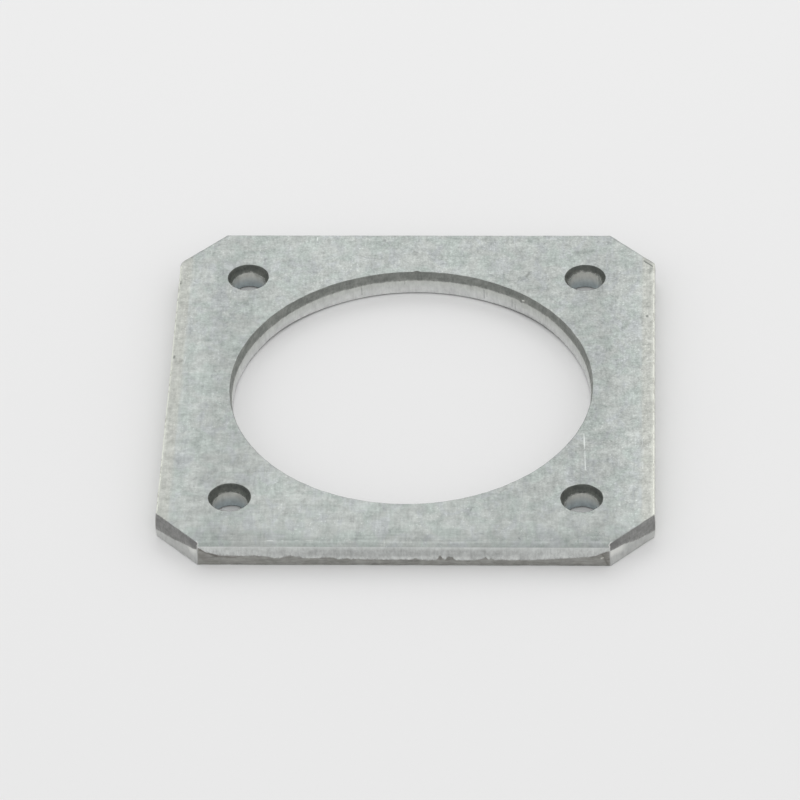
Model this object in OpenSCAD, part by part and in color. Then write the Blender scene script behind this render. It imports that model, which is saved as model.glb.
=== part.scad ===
/* [Strip] */
// Width of the strip, measured across its rounded mill edges
strip_w = 75; // [70:0.1:100]
// Length of strip between the two cut-off ends
plate_l = 74.5; // [70:0.1:100]
// Thickness of the strip, a nominal 4 mm with its zinc coat
plate_t = 4.1; // [3:0.1:6]
// How far each mill edge bulges past the edge of the flat faces
edge_bulge = 0.15; // [0.05:0.05:0.8]
// Radius that blends a flat face into a mill edge
edge_round = 0.2; // [0.1:0.05:0.8]

/* [Centre hole] */
// Diameter of the centre hole at its smooth wall
bore_d = 55.2; // [40:0.1:58]
// Height of the torn band at the top of the centre hole
bore_fracture_h = 1.35; // [0.6:0.05:2]
// How much the torn band opens the centre hole on each side
bore_break_w = 0.22; // [0.05:0.01:0.6]

/* [Fixing holes] */
// Diameter of each fixing hole at its smooth wall
hole_d = 5.3; // [4:0.1:9]
// Distance between neighbouring fixing holes, the same both ways
hole_pitch = 52.9; // [50:0.1:60]
// Height of the torn band at the top of each fixing hole
hole_fracture_h = 1.1; // [0.6:0.05:2]
// How much the torn band opens a fixing hole on each side
hole_break_w = 0.49; // [0.05:0.01:0.6]

/* [Punched holes] */
// Depth of the rounded lip at the bottom of every hole, where its punch went in
punch_roll_h = 0.2; // [0.05:0.05:0.6]
// Width of that rounded lip, along the flat face
punch_roll_w = 0.3; // [0.05:0.05:0.8]

/* [Corner notches] */
// Length that a notch takes off the strip and off the cut-off end, each way
notch_leg = 6.75; // [3:0.05:12]
// Height of the torn band at the top of each notch
notch_fracture_h = 1.85; // [0.6:0.05:2.2]
// How far the torn band of a notch slopes back from its smooth wall
notch_break_w = 0.37; // [0.05:0.01:0.6]
// Depth of the rounded lip at the bottom of each notch
notch_roll_h = 0.1; // [0.05:0.05:0.6]
// Width of that rounded lip, along the flat face
notch_roll_w = 0.15; // [0.05:0.05:0.8]

/* [Cut-off ends] */
// Height of the torn band on each cut-off end
end_fracture_h = 1.4; // [0.6:0.05:2]
// How far the torn band of an end slopes back from its smooth wall
end_break_w = 0.1; // [0.05:0.01:0.6]
// Depth of the rounded lip that the shear drew down on each cut-off end
end_roll_h = 0.4; // [0.1:0.05:0.8]
// Width of that rounded lip, along the flat face
end_roll_w = 0.8; // [0.1:0.05:1.2]

/* [Hidden] */
// How far a cutting shape runs past what it cuts
CLEAR = 1;
// Which side of its wall a cut takes away, seen from the middle of the part
INWARD = -1;
OUTWARD = 1;
$fn = 96;
GALVANISED = [0.72, 0.74, 0.72];

half_t = plate_t / 2;
// Radius and centre of the arc that bulges each mill edge
bulge_r = (half_t ^ 2 + edge_bulge ^ 2) / (2 * edge_bulge);
bulge_x = strip_w / 2 - bulge_r;
// Centre of the blend between the top face and the right mill edge
round_x = bulge_x + sqrt((bulge_r - edge_round) ^ 2 - (half_t - edge_round) ^ 2);
round_z = plate_t - edge_round;
// A notch's smooth wall lies on a line at 45 degrees, this far from the middle
notch_from_middle = (strip_w / 2 + plate_l / 2 - notch_leg) * sqrt(1 / 2);

// Outside of the blend between the top face and the right mill edge
module blend_away() {
    round_centre = [round_x, round_z];
    from_bulge = (round_centre - [bulge_x, half_t]) / (bulge_r - edge_round);
    difference() {
        polygon([
            round_centre,
            [round_x, plate_t + CLEAR],
            [strip_w / 2 + CLEAR, plate_t + CLEAR],
            round_centre + from_bulge * (edge_round + CLEAR)
        ]);
        translate(round_centre) circle(r = edge_round);
    }
}

// Cross-section of the strip: two flat faces between two rounded mill edges
module strip_section() {
    difference() {
        union() {
            translate([-bulge_x, 0]) square([2 * bulge_x, plate_t]);
            for (side = [-1, 1])
                intersection() {
                    translate([side * bulge_x, half_t]) circle(r = bulge_r);
                    translate([-strip_w / 2 - CLEAR, 0]) square([strip_w + 2 * CLEAR, plate_t]);
                }
        }
        for (side = [0, 1])
            mirror([side, 0]) {
                blend_away();
                translate([0, plate_t]) mirror([0, 1]) blend_away();
            }
    }
}

// The strip, laid along Y and a little longer than the part
module strip() {
    rotate([90, 0, 0])
        linear_extrude(height = plate_l + 2 * CLEAR, center = true) strip_section();
}

// Section of what a shearing cut takes away, on the side of X = wall_x that toward gives. From the
// face that the tool entered, at the bottom, the metal that stays has a rounded lip, a smooth wall on
// X = wall_x and a torn band that slopes back to the other face.
module sheared_away(wall_x, toward, reach, roll_h, roll_w, fracture_h, break_w) {
    lip_r = (roll_h ^ 2 + roll_w ^ 2) / (2 * roll_h);
    lip_x = wall_x - toward * roll_w;
    break_slope = break_w / fracture_h;
    polygon([
        [wall_x, -CLEAR],
        [wall_x + toward * reach, -CLEAR],
        [wall_x + toward * reach, plate_t + CLEAR],
        [wall_x - toward * break_slope * (fracture_h + CLEAR), plate_t + CLEAR],
        [wall_x, plate_t - fracture_h]
    ]);
    difference() {
        translate([min(wall_x, lip_x), -CLEAR]) square([roll_w, roll_h + CLEAR]);
        translate([lip_x, lip_r]) circle(r = lip_r);
    }
}

// A round hole, punched from below
module punched_hole(d, fracture_h, break_w) {
    rotate_extrude()
        sheared_away(d / 2, INWARD, d / 2, punch_roll_h, punch_roll_w, fracture_h, break_w);
}

// The four corners, punched from below
module corner_notches() {
    for (corner = [45 : 90 : 315])
        rotate(corner)
            rotate([90, 0, 0])
                linear_extrude(height = 2 * notch_leg + 2 * CLEAR, center = true)
                    sheared_away(notch_from_middle, OUTWARD, notch_leg,
                        notch_roll_h, notch_roll_w, notch_fracture_h, notch_break_w);
}

// What the shear takes away past the end at +X, with its rounded lip below
module cut_off() {
    rotate([90, 0, 0])
        linear_extrude(height = strip_w + 2 * CLEAR, center = true)
            sheared_away(plate_l / 2, OUTWARD, 2 * CLEAR,
                end_roll_h, end_roll_w, end_fracture_h, end_break_w);
}

// Both ends. One stroke parts two plates: it draws the lip down from below on the back end of the
// one that stays, and from above on the front end of the one that is pushed out.
module cut_off_ends() {
    rotate(90) cut_off();
    translate([0, 0, plate_t]) mirror([0, 0, 1]) rotate(-90) cut_off();
}

module fixing_holes() {
    for (x = [-1, 1], y = [-1, 1])
        translate([x * hole_pitch / 2, y * hole_pitch / 2, 0])
            punched_hole(hole_d, hole_fracture_h, hole_break_w);
}

module washer_plate() {
    color(GALVANISED)
        difference() {
            strip();
            cut_off_ends();
            corner_notches();
            punched_hole(bore_d, bore_fracture_h, bore_break_w);
            fixing_holes();
        }
}

washer_plate();
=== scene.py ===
"""Looks of the support washer: its galvanised faces and its sheared edges, over the CAD model.

Sizes are in millimetres unless a name says otherwise. Meshes are made in metres, in the CAD's
frame: +Z is up out of the face that shows the torn side of the holes, X runs across the strip
between its mill edges, and -Y is the cut-off end whose rounded lip is at the top.
"""

import logging
import math
from abc import ABC, abstractmethod
from dataclasses import dataclass, replace
from enum import Enum
from typing import Sequence

import bmesh
import bpy
import numpy as np
from mathutils import Matrix, Vector, noise


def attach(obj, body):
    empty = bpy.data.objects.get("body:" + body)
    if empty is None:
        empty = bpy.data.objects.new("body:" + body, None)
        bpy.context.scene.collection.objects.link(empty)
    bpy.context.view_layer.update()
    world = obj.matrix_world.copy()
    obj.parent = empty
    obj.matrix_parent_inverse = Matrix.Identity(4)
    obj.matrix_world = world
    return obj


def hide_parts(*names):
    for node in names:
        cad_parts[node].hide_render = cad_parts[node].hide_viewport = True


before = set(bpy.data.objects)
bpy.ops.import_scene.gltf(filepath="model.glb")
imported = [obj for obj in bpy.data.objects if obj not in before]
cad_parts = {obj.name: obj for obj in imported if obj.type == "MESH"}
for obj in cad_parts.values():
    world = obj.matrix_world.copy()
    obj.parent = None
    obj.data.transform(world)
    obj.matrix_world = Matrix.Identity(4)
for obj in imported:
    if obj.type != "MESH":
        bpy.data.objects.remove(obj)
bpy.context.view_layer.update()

log = logging.getLogger("support_washer")

Triple = tuple[float, float, float]
Chain = list[bmesh.types.BMVert]

MM = 0.001
THICKNESS = 4.1
LENGTH = 74.5
BORE_DIAMETER = 55.2
COS_45 = math.sqrt(0.5)
PHOTO_SIDE_PX = 800
BEYOND_SPLIT = "beyond_split"

# How fast the layers of a ripple weaken, and how much finer each is than the one before it
RIPPLE_WEAKER = 1.0
RIPPLE_FINER = 2.0

# Tones of the single marks
SHINE: Triple = (0.95, 0.95, 0.92)
PALE: Triple = (0.6, 0.63, 0.61)
BROWN: Triple = (0.15, 0.14, 0.125)
DARK: Triple = (0.12, 0.13, 0.12)
SHADOW: Triple = (0.1, 0.1, 0.1)


class Entry(Enum):
    """The face of the strip that a tool went in from."""

    BELOW = "below"
    ABOVE = "above"


class Skin(Enum):
    """The surfaces of the plate, numbered as its material slots are."""

    COAT = 0
    MILL = 1
    LIP = 2
    BORED = 3
    BORED_TORN = 4
    PUNCHED = 5
    PUNCHED_TORN = 6
    NOTCHED = 7
    NOTCHED_TORN = 8
    SHEARED = 9
    SHEARED_TORN = 10
    CORNER = 11


@dataclass(frozen=True)
class CutSkins:
    """The surfaces of a sheared edge: its two bands, its lip and its far rim."""

    smooth: Skin
    torn: Skin
    lip: Skin = Skin.COAT
    rim: Skin = Skin.COAT


def ripple(point: Sequence[float], size: float, octaves: int = 3) -> float:
    """Gives smooth noise that is the same in every run.

    Args:
        point: Where the noise is read, in millimetres.
        size: Width of its largest waves, in millimetres.
        octaves: How many finer layers it holds.

    Returns:
        A number from about -1 to 1.
    """
    return noise.fractal(Vector(point) / size, RIPPLE_WEAKER, RIPPLE_FINER, octaves)


def ease(value: float | np.ndarray) -> float | np.ndarray:
    """Turns 0..1 into a smooth step, and holds it outside."""
    held = np.clip(value, 0.0, 1.0)
    return held * held * (3 - 2 * held)


def merged(values: np.ndarray, least: float = 1e-6) -> np.ndarray:
    """Sorts numbers and drops those that repeat another.

    Args:
        values: The numbers.
        least: How far apart two numbers are to count as two.

    Returns:
        The numbers that stay, from the lowest up.
    """
    ordered = np.sort(values)
    keep = np.concatenate([[True], np.diff(ordered) > least])
    return ordered[keep]


@dataclass(frozen=True)
class Tongue:
    """A short place along an edge where something reaches out: a band, a nick or a swell."""

    at: float
    width: float
    reach: float

    def height_at(self, place: float) -> float:
        """Gives how far it reaches at a place."""
        return self.reach * math.exp(-(((place - self.at) / self.width) ** 2))


@dataclass(frozen=True)
class SplitLine:
    """The uneven line between the smooth and the torn band of a sheared edge.

    Its heights are over the bottom face, at places along the edge.
    """

    knots: tuple[tuple[float, float], ...]
    tongues: tuple[Tongue, ...] = ()
    unevenness: float = 0.06
    wave: float = 2.2
    teeth: float = 0.05
    tooth: float = 0.45

    def height(self, place: float, seed: Sequence[float]) -> float:
        """Gives the line's height over the bottom face.

        Args:
            place: Position along the edge.
            seed: A point on the edge, from which its noise is read.

        Returns:
            The height in millimetres.
        """
        places, heights = zip(*self.knots)
        base = float(np.interp(place, places, heights))
        moved = sum(tongue.height_at(place) for tongue in self.tongues)
        moved += self.unevenness * ripple(seed, self.wave, octaves=3)
        moved += self.teeth * ripple(seed, self.tooth, octaves=2)
        return base + moved


class EdgeSection(ABC):
    """Section of an edge of the plate, from its bottom face to its top face."""

    @abstractmethod
    def heights(self, split: float) -> np.ndarray:
        """Gives the heights of the mesh's rows, from the bottom up."""

    @abstractmethod
    def skins(self) -> list[Skin]:
        """Gives the surface between each two rows."""

    @abstractmethod
    def inset(self, heights: np.ndarray, split: float) -> np.ndarray:
        """Gives how far the edge lies inside its outermost plane."""

    @abstractmethod
    def relief(self, point: np.ndarray, row: int) -> float:
        """Gives how much deeper than its plain form the edge lies at a point."""

    def beyond_split(self, heights: np.ndarray, split: float) -> np.ndarray:
        """Gives how far past the smooth band each height lies, below 0 where it is in it."""
        return np.zeros(len(heights))


@dataclass(frozen=True)
class ShearedEdge(EdgeSection):
    """Edge that a tool has cut: a rounded lip, a smooth band and a torn band.

    Depths are counted from the face that the tool entered.
    """

    thickness: float
    lip_depth: float
    lip_width: float
    torn_lean: float
    entry: Entry
    cut: CutSkins
    rim_break: float = 0.07
    lip_rows: int = 7
    smooth_rows: int = 6
    torn_rows: int = 9
    rim_rows: int = 2
    score_depth: float = 0.004
    score_size: float = 0.9
    tear_depth: float = 0.05
    tear_size: float = 1.1
    tear_base: float = 0.5
    tear_squeeze: Triple = (1.0, 1.0, 1.0)

    def _lip_radius(self) -> float:
        """Gives the radius of the lip, which is tangent to the flat face."""
        return (self.lip_depth**2 + self.lip_width**2) / (2 * self.lip_depth)

    def _depths(self, smooth_to: float) -> np.ndarray:
        """Gives the depths of the mesh's rows.

        Args:
            smooth_to: Depth at which the smooth band ends.

        Returns:
            The depths, from the entered face on.
        """
        radius = self._lip_radius()
        across = np.linspace(0, self.lip_width, self.lip_rows + 1)
        lip = radius - np.sqrt(radius**2 - across**2)
        rim_starts = self.thickness - self.rim_break
        smooth = np.linspace(self.lip_depth, smooth_to, self.smooth_rows + 1)[1:]
        torn = np.linspace(smooth_to, rim_starts, self.torn_rows + 1)[1:]
        rim = np.linspace(rim_starts, self.thickness, self.rim_rows + 1)[1:]
        return np.concatenate([lip, smooth, torn, rim])

    def _turned(self, rows: float | np.ndarray) -> float | np.ndarray:
        """Turns depths into heights, or heights into depths."""
        return rows if self.entry is Entry.BELOW else self.thickness - rows

    def heights(self, split: float) -> np.ndarray:
        """Gives the heights of the mesh's rows, from the bottom up."""
        rows = self._turned(self._depths(self._turned(split)))
        return rows if self.entry is Entry.BELOW else rows[::-1]

    def skins(self) -> list[Skin]:
        """Gives the surface between each two rows.

        Returns:
            The surfaces, from the bottom up.
        """
        found = (
            [self.cut.lip] * self.lip_rows
            + [self.cut.smooth] * self.smooth_rows
            + [self.cut.torn] * self.torn_rows
            + [self.cut.rim] * self.rim_rows
        )
        return found if self.entry is Entry.BELOW else found[::-1]

    def inset(self, heights: np.ndarray, split: float) -> np.ndarray:
        """Gives how far the edge lies inside the plane of its smooth band.

        Args:
            heights: Heights over the bottom face.
            split: Height of the line between the bands.

        Returns:
            The inset at each height.
        """
        depth = self._turned(np.asarray(heights, float))
        smooth_to = self._turned(split)
        radius = self._lip_radius()
        up_lip = np.clip(radius - depth, 0, radius)
        lip = self.lip_width - np.sqrt(np.maximum(radius**2 - up_lip**2, 0))
        torn = self.torn_lean * (depth - smooth_to) / (self.thickness - smooth_to)
        past_band = depth - (self.thickness - self.rim_break)
        into_rim = np.clip(past_band / self.rim_break, 0, 1)
        rim = self.rim_break * (1 - np.sqrt(1 - into_rim**2))
        past_lip = np.where(depth > smooth_to, torn, 0) + rim
        return np.where(depth < self.lip_depth, lip, past_lip)

    def beyond_split(self, heights: np.ndarray, split: float) -> np.ndarray:
        """Gives how far into the torn band each height lies, below 0 where it is smooth."""
        return self._turned(np.asarray(heights, float)) - self._turned(split)

    def relief(self, point: np.ndarray, row: int) -> float:
        """Gives the extra depth at a point: rough where torn, faintly scored where smooth.

        Args:
            point: The point, in millimetres.
            row: The mesh's row that it is on, from the bottom up.

        Returns:
            The depth in millimetres.
        """
        smooth_ends = self.lip_rows + self.smooth_rows
        last = smooth_ends + self.torn_rows + self.rim_rows
        from_entry = row if self.entry is Entry.BELOW else last - row
        if from_entry <= self.lip_rows:
            return 0.0
        if from_entry <= smooth_ends:
            upright = (point[0], point[1], 0)
            return self.score_depth * (1 + ripple(upright, self.score_size))
        tear = ripple(point * np.array(self.tear_squeeze), self.tear_size)
        return self.tear_depth * max(self.tear_base + tear, 0.0)


@dataclass(frozen=True)
class MillEdge(EdgeSection):
    """Rounded side of the strip as it left the mill, under its zinc coat."""

    thickness: float
    bulge: float
    blend: float
    blend_rows: int = 6
    half_bulge_rows: int = 5
    lump_depth: float = 0.11
    lump_size: float = 1.1
    lump_octaves: int = 4

    def _bulge_radius(self) -> float:
        """Gives the radius of the arc between the two blends."""
        half = self.thickness / 2
        return (half**2 + self.bulge**2) / (2 * self.bulge)

    def _blend_centre(self) -> tuple[float, float]:
        """Gives the centre of the upper blend.

        Returns:
            How far inside it lies, and how far over the middle.
        """
        radius = self._bulge_radius()
        up = self.thickness / 2 - self.blend
        reach = math.sqrt((radius - self.blend) ** 2 - up**2)
        return radius - reach, up

    def _blend_turn(self) -> float:
        """Gives how far round the bulge's arc the blend starts."""
        inside, up = self._blend_centre()
        return math.atan2(up, self._bulge_radius() - inside)

    def heights(self, split: float) -> np.ndarray:
        """Gives the heights of the mesh's rows.

        Args:
            split: Not used, because a mill edge has no bands.

        Returns:
            The heights, from the bottom up.
        """
        turn = self._blend_turn()
        _, up = self._blend_centre()
        on_bulge = np.linspace(0, turn, self.half_bulge_rows + 1)
        on_blend = np.linspace(turn, math.pi / 2, self.blend_rows + 1)[1:]
        above = np.concatenate(
            [self._bulge_radius() * np.sin(on_bulge), up + self.blend * np.sin(on_blend)]
        )
        middle = self.thickness / 2
        return np.concatenate([middle - above[::-1], middle + above[1:]])

    def skins(self) -> list[Skin]:
        """Gives the surface between each two rows."""
        return [Skin.MILL] * (2 * (self.half_bulge_rows + self.blend_rows))

    def inset(self, heights: np.ndarray, split: float) -> np.ndarray:
        """Gives how far the edge lies inside the strip's full width.

        Args:
            heights: Heights over the bottom face.
            split: Not used, because a mill edge has no bands.

        Returns:
            The inset at each height.
        """
        above = np.abs(np.asarray(heights, float) - self.thickness / 2)
        inside, up = self._blend_centre()
        radius = self._bulge_radius()
        on_bulge = radius - np.sqrt(np.maximum(radius**2 - above**2, 0))
        over = np.clip(above - up, 0, self.blend)
        on_blend = inside - np.sqrt(np.maximum(self.blend**2 - over**2, 0))
        return np.where(above > radius * math.sin(self._blend_turn()), on_blend, on_bulge)

    def relief(self, point: np.ndarray, row: int) -> float:
        """Gives the extra depth between the lumps of zinc at a point."""
        lump = ripple(point, self.lump_size, self.lump_octaves)
        return self.lump_depth * max((1 + lump) / 2, 0.0)


class Skinner:
    """Gathers the plate's skin as a mesh of chains of points joined by faces."""

    def __init__(self) -> None:
        """Starts with an empty mesh."""
        self.mesh = bmesh.new()
        self.beyond = self.mesh.verts.layers.float.new(BEYOND_SPLIT)

    def chain(self, points: np.ndarray, beyond: np.ndarray) -> Chain:
        """Adds a chain of points from the bottom up.

        Args:
            points: The points, in millimetres.
            beyond: How far past the smooth band each one lies, in millimetres.

        Returns:
            The chain's points in the mesh.
        """
        made = []
        for point, distance in zip(points, beyond):
            vert = self.mesh.verts.new(Vector(point) * MM)
            vert[self.beyond] = float(distance)
            made.append(vert)
        return made

    def face(self, corners: Chain, skin: Skin) -> None:
        """Adds one smooth-shaded face with a surface's material.

        Args:
            corners: Its points, anticlockwise seen from outside.
            skin: The surface.
        """
        made = self.mesh.faces.new(corners)
        made.material_index = skin.value
        made.smooth = True

    def join(self, chains: Sequence[Chain], skins: Sequence[Skin]) -> None:
        """Joins chains that have the same rows, each to the next.

        Args:
            chains: The chains, going round the outside anticlockwise.
            skins: The surface between each two rows.
        """
        for first, second in zip(chains, chains[1:]):
            for row, skin in enumerate(skins):
                self.face([first[row], second[row], second[row + 1], first[row + 1]], skin)

    def join_corner(
        self,
        inner: Chain,
        corner: Chain,
        rows: Sequence[int],
        skins: Sequence[Skin],
        corner_first: bool,
    ) -> None:
        """Joins a side's nearest column to a corner's chain, which has more rows.

        Args:
            inner: The side's column.
            corner: The corner's chain.
            rows: Where each row of the side lies in the corner's chain.
            skins: The surface between each two rows of the side.
            corner_first: Whether the corner comes before the column, anticlockwise.
        """
        for row, skin in enumerate(skins):
            between = corner[rows[row] : rows[row + 1] + 1]
            if corner_first:
                ring = between[::-1] + [inner[row], inner[row + 1]]
            else:
                ring = [inner[row + 1], inner[row]] + between
            self.face(ring, skin)

    def close(self, loops: Sequence[Chain], up: float) -> None:
        """Fills a flat face between its outline and its holes.

        Args:
            loops: The outline and each hole, as closed rings of points.
            up: 1 for the top face, -1 for the bottom one.
        """
        edges = []
        for loop in loops:
            for start, end in zip(loop, loop[1:] + loop[:1]):
                edges.append(self.mesh.edges.get((start, end)))
        filled = bmesh.ops.triangle_fill(
            self.mesh, edges=edges, use_beauty=True, normal=(0, 0, up)
        )
        for item in filled["geom"]:
            if isinstance(item, bmesh.types.BMFace):
                item.material_index = Skin.COAT.value
                item.smooth = True
        for edge in edges:
            edge.smooth = False

    def finish(self, name: str, crease_deg: float = 32.0) -> bpy.types.Object:
        """Turns the skin into an object.

        Args:
            name: The object's name.
            crease_deg: Faces that meet at more than this stay sharp.

        Returns:
            The new object, at the origin.
        """
        bmesh.ops.recalc_face_normals(self.mesh, faces=self.mesh.faces)
        crease = math.radians(crease_deg)
        for edge in self.mesh.edges:
            if len(edge.link_faces) != 2:
                raise RuntimeError(f"{name} is open at {edge.verts[0].co}")
            one, other = edge.link_faces
            changes = one.material_index != other.material_index
            if changes or edge.calc_face_angle(0.0) > crease:
                edge.smooth = False
        mesh = bpy.data.meshes.new(name)
        self.mesh.to_mesh(mesh)
        self.mesh.free()
        piece = bpy.data.objects.new(name, mesh)
        bpy.context.scene.collection.objects.link(piece)
        return piece


@dataclass(frozen=True)
class PressedBack:
    """The last stretch of a notch before the front end, which the shear pressed back out."""

    at: float
    width: float = 1.1
    share: float = 0.9
    full_below: float = 3.72
    fade: float = 0.3

    def kept(self, heights: np.ndarray, place: float) -> np.ndarray:
        """Gives the share of the notch's inset that stays.

        Args:
            heights: Heights over the bottom face.
            place: Position along the notch.

        Returns:
            A factor from about 0 to 1 for each height.
        """
        near = math.exp(-(((place - self.at) / self.width) ** 2))
        low = 1 - ease((np.asarray(heights, float) - self.full_below) / self.fade)
        return 1 - self.share * near * low


@dataclass(frozen=True)
class Side:
    """One straight side of the plate's outline."""

    name: str
    facing_deg: float
    distance: float
    section: EdgeSection
    split: SplitLine
    pitch: float = 0.2
    pressed: PressedBack | None = None
    worn_end: float = 0.1
    calm_end: float = 0.6
    fewest_steps: int = 4

    @property
    def out(self) -> np.ndarray:
        """Gives the direction that the side faces."""
        turn = math.radians(self.facing_deg)
        return np.array([math.cos(turn), math.sin(turn)])

    @property
    def along(self) -> np.ndarray:
        """Gives the direction along the side, anticlockwise seen from above."""
        return np.array([-self.out[1], self.out[0]])

    def split_at(self, place: float) -> float:
        """Gives the height of the line between the bands at a place."""
        seed = self.out * self.distance + self.along * place
        return self.split.height(place, (seed[0], seed[1], self.facing_deg))

    def inset_at(self, heights: np.ndarray, place: float) -> np.ndarray:
        """Gives the plain inset of the side at a place."""
        inset = self.section.inset(heights, self.split_at(place))
        return inset * self.pressed.kept(heights, place) if self.pressed else inset

    def _points(
        self, heights: np.ndarray, place: float, places: np.ndarray, rough: float
    ) -> np.ndarray:
        """Gives the points of one column.

        Args:
            heights: Heights over the bottom face.
            place: The column's position along the side's outermost plane.
            places: The positions of its points along the side, one for each height.
            rough: The share of the relief that shows.

        Returns:
            The points, in millimetres.
        """
        insets = self.inset_at(heights, place)
        points = []
        for row, height in enumerate(heights):
            plan = self.out * (self.distance - insets[row]) + self.along * places[row]
            relief = self.section.relief(np.array([*plan, height]), row)
            points.append((*(plan - self.out * rough * relief), height))
        return np.array(points)

    def skin(self, skinner: Skinner, start: "Corner", end: "Corner") -> list[Chain]:
        """Adds the side between its two corners.

        Args:
            skinner: The skin that it becomes part of.
            start: The corner that it starts from, anticlockwise.
            end: The corner that it ends at.

        Returns:
            Its columns of points.
        """
        first, last = start.place_on(self), end.place_on(self)
        count = max(round((last - first) / self.pitch), self.fewest_steps)
        columns = []
        for step in range(1, count):
            share = step / count
            place = first + share * (last - first)
            split = self.split_at(place)
            heights = self.section.heights(split)
            from_start = start.points(heights) @ self.along + start.easing
            to_end = end.points(heights) @ self.along - end.easing
            places = from_start + share * (to_end - from_start)
            rough = ease(min(place - first, last - place) / self.calm_end)
            points = self._points(heights, place, places, rough)
            columns.append(skinner.chain(points, self.section.beyond_split(heights, split)))
        skinner.join(columns, self.section.skins())
        log.info("%s: %d columns", self.name, len(columns))
        return columns


@dataclass(frozen=True)
class Corner:
    """The upright edge where one side of the outline meets the next, a little rounded."""

    before: Side
    after: Side
    step: float = 0.2
    fewest_chains: int = 3

    @property
    def easing(self) -> float:
        """Gives how far from the sharp corner its rounding starts."""
        return self.before.worn_end

    def _meeting(self, inset_before: np.ndarray, inset_after: np.ndarray) -> np.ndarray:
        """Gives where the two sides cross.

        Args:
            inset_before: Inset of the first side at every height.
            inset_after: Inset of the next side at the same heights.

        Returns:
            The crossings, seen from above.
        """
        rows = np.array([self.before.out, self.after.out])
        offsets = np.stack(
            [self.before.distance - inset_before, self.after.distance - inset_after]
        )
        return np.linalg.solve(rows, offsets).T

    def place_on(self, side: Side) -> float:
        """Gives where the corner of the two outermost planes lies along a side."""
        return float(side.along @ self._meeting(np.zeros(1), np.zeros(1))[0])

    def split_on(self, side: Side) -> float:
        """Gives the height of a side's line between the bands at the corner."""
        return side.split_at(self.place_on(side))

    def points(self, heights: np.ndarray) -> np.ndarray:
        """Gives the sharp corner's points in plan, at these heights."""
        sides = (self.before, self.after)
        return self._meeting(*(side.inset_at(heights, self.place_on(side)) for side in sides))

    def skin(self, skinner: Skinner) -> "CornerStrip":
        """Adds the rounded corner.

        Args:
            skinner: The skin that it becomes part of.

        Returns:
            The corner as it stands in the mesh.
        """
        splits = [(side.section, self.split_on(side)) for side in (self.before, self.after)]
        heights = merged(np.concatenate([cut.heights(split) for cut, split in splits]))
        first, last = (cut.beyond_split(heights, split) for cut, split in splits)
        sharp = self.points(heights)
        start = sharp - self.before.along * self.easing
        end = sharp + self.after.along * self.easing
        chains = []
        for turn in np.linspace(0, 1, self.fewest_chains + round(self.easing / self.step)):
            plan = (1 - turn) ** 2 * start + 2 * turn * (1 - turn) * sharp + turn**2 * end
            beyond = (1 - turn) * first + turn * last
            chains.append(skinner.chain(np.column_stack([plan, heights]), beyond))
        skinner.join(chains, [Skin.CORNER] * (len(heights) - 1))
        return CornerStrip(self, heights, chains)


@dataclass(frozen=True)
class CornerStrip:
    """A rounded corner in the mesh: the heights of its rows, and its chains anticlockwise."""

    corner: Corner
    heights: np.ndarray
    chains: list[Chain]

    def join(self, skinner: Skinner, side: Side, column: Chain) -> None:
        """Joins the corner to one of its sides.

        Args:
            skinner: The skin that both are part of.
            side: The side.
            column: The side's nearest column.
        """
        corner_first = side is self.corner.after
        own = side.section.heights(self.corner.split_on(side))
        rows = [int(np.argmin(np.abs(self.heights - height))) for height in own]
        chain = self.chains[-1 if corner_first else 0]
        skinner.join_corner(column, chain, rows, side.section.skins(), corner_first)


@dataclass(frozen=True)
class RoundHole:
    """A punched hole, with its torn side up."""

    name: str
    x: float
    y: float
    radius: float
    section: ShearedEdge
    split: SplitLine
    columns: int
    nicks: tuple[Tongue, ...] = ()
    swells: tuple[Tongue, ...] = ()

    def _section_at(self, turn_deg: float) -> ShearedEdge:
        """Gives the section, with a larger lip where the punch drew in more metal.

        Args:
            turn_deg: The angle round the hole.

        Returns:
            The section at that angle.
        """
        swell = sum(swell.height_at(turn_deg) for swell in self.swells)
        return replace(
            self.section,
            lip_depth=self.section.lip_depth + swell,
            lip_width=self.section.lip_width + swell,
        )

    def _nick_at(self, turn_deg: float, heights: np.ndarray, split: float) -> np.ndarray:
        """Gives how much further the torn band opens at an angle, most at the rim."""
        up = ease((heights - split) / (self.section.thickness - split))
        return up * sum(nick.height_at(turn_deg) for nick in self.nicks)

    def _column(self, skinner: Skinner, turn_deg: float) -> Chain:
        """Adds one column of the hole's wall.

        Args:
            skinner: The skin that it becomes part of.
            turn_deg: The angle round the hole.

        Returns:
            The column's points.
        """
        turn = math.radians(turn_deg)
        out = np.array([math.cos(turn), math.sin(turn)])
        centre = np.array([self.x, self.y])
        split = self.split.height(turn_deg, (*(centre + self.radius * out), self.radius))
        section = self._section_at(turn_deg)
        heights = section.heights(split)
        insets = section.inset(heights, split) + self._nick_at(turn_deg, heights, split)
        points = []
        for row, height in enumerate(heights):
            plan = centre + out * (self.radius + insets[row])
            relief = section.relief(np.array([*plan, height]), row)
            points.append((*(plan + out * relief), height))
        return skinner.chain(np.array(points), section.beyond_split(heights, split))

    def skin(self, skinner: Skinner) -> list[Chain]:
        """Adds the hole's wall.

        Args:
            skinner: The skin that it becomes part of.

        Returns:
            Its columns of points, clockwise seen from above.
        """
        turns = (-360.0 * step / self.columns for step in range(self.columns))
        columns = [self._column(skinner, turn_deg) for turn_deg in turns]
        skinner.join(columns + columns[:1], self.section.skins())
        log.info("%s: %d columns", self.name, len(columns))
        return columns


@dataclass(frozen=True)
class Mark:
    """A scratch, a speck or a patch: a line through a point, reaching as far each way."""

    at: Triple
    reach: Triple
    half_width: float
    tone: Triple
    strength: float


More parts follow.
